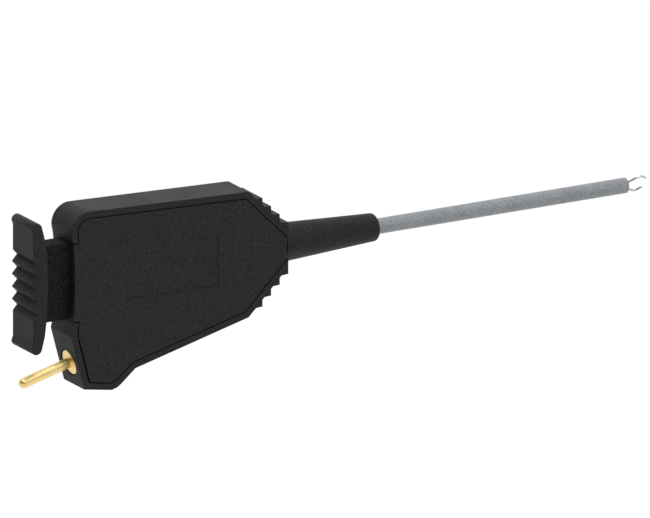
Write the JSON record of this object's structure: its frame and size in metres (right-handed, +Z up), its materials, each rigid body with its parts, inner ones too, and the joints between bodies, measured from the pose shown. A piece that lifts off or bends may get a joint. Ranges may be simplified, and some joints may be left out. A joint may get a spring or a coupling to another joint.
{
  "type": "oscilloscope probe",
  "caption": "Slim micro grabber tip for a test probe: flat stepped housing, ribbed thumb plunger, thin insulated shaft, sprung wire jaws and a gold contact pin.",
  "frame": {"origin": "centre of the shaft's mouth, where the jaws come out, on the shaft axis", "axes": "+X along the shaft, out of its mouth; +Y across the housing's thickness, away from the cover plate; +Z up, with the contact pin below the thumb pad at the -X end"},
  "size_m": [0.0546, 0.0032, 0.0145],
  "materials": {
    "housing_plastic": "fine-grained black moulded plastic",
    "cover_plastic": "fine-grained black moulded plastic",
    "plunger_plastic": "satin black moulded plastic",
    "sleeve_grey": "mottled grey insulating sleeve",
    "steel": "drawn stainless steel",
    "spring_steel": "bright spring wire",
    "jaw_wire": "bright hard-drawn wire",
    "gold_plate": "polished gold plating",
    "brass": "machined brass",
    "bronze": "rolled spring bronze"
  },
  "bodies": {
    "housing": {"housing_shell": "housing_plastic", "cover_plate": "cover_plastic", "shaft_sleeve": "sleeve_grey", "guide_tube": "steel", "shaft_collar": "brass", "contact_pin": "gold_plate", "contact_wiper": "bronze", "return_spring": "spring_steel"},
    "plunger_unit": {"plunger": "plunger_plastic", "contact_block": "brass", "spring_washer": "steel", "jaw_shank_upper": "jaw_wire", "jaw_shank_lower": "jaw_wire"},
    "upper_jaw": {"jaw_tip_upper": "jaw_wire"},
    "lower_jaw": {"jaw_tip_lower": "jaw_wire"}
  },
  "joints": [
    {"name": "plunger_slide", "type": "slide", "parent": "housing", "child": "plunger_unit", "axis": [1, 0, 0], "range_m": [0, 0.002], "stiffness_N_per_m": 120, "springref_m": -0.004, "deforming": ["return_spring"]},
    {"name": "upper_jaw_open", "type": "hinge", "parent": "plunger_unit", "child": "upper_jaw", "pos_m": [-0.0023, -0.00009, 0.00013], "axis": [0, -0.8192, -0.5736], "range_deg": [0, 4.5]},
    {"name": "lower_jaw_open", "type": "hinge", "parent": "plunger_unit", "child": "lower_jaw", "pos_m": [-0.0023, 0.00009, -0.00013], "axis": [0, 0.8192, 0.5736], "range_deg": [0, 4.5]}
  ],
  "couplings": [
    {"joint": "upper_jaw_open", "follows": "plunger_slide", "rad_per_m": 39.26},
    {"joint": "lower_jaw_open", "follows": "plunger_slide", "rad_per_m": 39.26}
  ]
}
